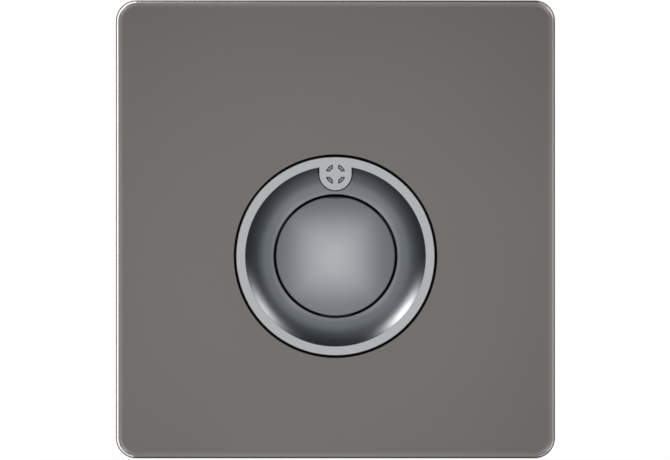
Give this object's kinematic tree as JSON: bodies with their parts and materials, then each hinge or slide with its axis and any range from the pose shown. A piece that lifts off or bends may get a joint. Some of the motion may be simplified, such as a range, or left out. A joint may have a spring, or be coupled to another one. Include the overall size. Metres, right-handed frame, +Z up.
{
  "type": "timer push button switch",
  "caption": "Metal wall plate with an off-centre round push button in a dished bezel, over a steel yoke and a round timer module with screw terminals at the back.",
  "frame": {"origin": "midway between the two box-screw slots, on the wall plane", "axes": "+X to the right as seen from the front, +Y into the wall, +Z up; the front faces -Y"},
  "size_m": [0.086, 0.0296, 0.0896],
  "materials": {
    "dark_nickel_plate": "dark nickel plating, smooth satin gloss",
    "satin_silver": "satin silver plated moulding",
    "black_moulding": "black moulding, fine grain",
    "white_moulding": "off-white moulding",
    "zinc_steel": "bright zinc plated sheet",
    "screw_steel": "zinc plated",
    "spring_steel": "drawn wire",
    "terminal_brass": "machined",
    "frosted_guide": "frosted clear moulding",
    "lamp_lens": "tinted clear epoxy",
    "board_laminate": "green solder mask",
    "resistor_enamel": "enamelled",
    "relay_case": "smooth moulding",
    "film_capacitor_case": "smooth moulding",
    "capacitor_sleeve": "shrunk sleeve",
    "preset_body": "smooth moulding"
  },
  "bodies": {
    "switch": {"front_plate": "dark_nickel_plate", "plate_liner": "black_moulding", "mounting_yoke": "zinc_steel", "earth_terminal": "terminal_brass", "earth_screw": "screw_steel", "bezel": "satin_silver", "return_spring": "spring_steel", "button_deck": "black_moulding", "module_screws": "screw_steel", "light_guide": "frosted_guide", "locator_led": "lamp_lens", "circuit_board": "board_laminate", "switch_body": "black_moulding", "timer_chip": "black_moulding", "rectifier": "black_moulding", "resistors": "resistor_enamel", "relay": "relay_case", "film_capacitor": "film_capacitor_case", "smoothing_capacitor": "capacitor_sleeve", "timer_pot": "preset_body", "module_case": "black_moulding", "case_screws": "screw_steel", "terminal_clamps": "terminal_brass", "terminal_screws": "screw_steel"},
    "button": {"push_button": "satin_silver"},
    "plunger": {"switch_plunger": "white_moulding"},
    "adjuster": {"time_adjuster": "white_moulding"}
  },
  "joints": [
    {"name": "button_press", "type": "slide", "parent": "switch", "child": "button", "axis": [0, 1, 0], "range_m": [0, 0.0015], "stiffness_N_per_m": 800, "springref_m": -0.002, "deforming": ["return_spring"]},
    {"name": "plunger_press", "type": "slide", "parent": "switch", "child": "plunger", "axis": [0, 1, 0], "range_m": [0, 0.0015]},
    {"name": "delay_turn", "type": "hinge", "parent": "switch", "child": "adjuster", "pos_m": [0.00842, 0.02, -0.0097], "axis": [0, 1, 0], "range_deg": [-135, 135]}
  ],
  "couplings": [
    {"joint": "plunger_press", "follows": "button_press", "ratio": 1}
  ]
}
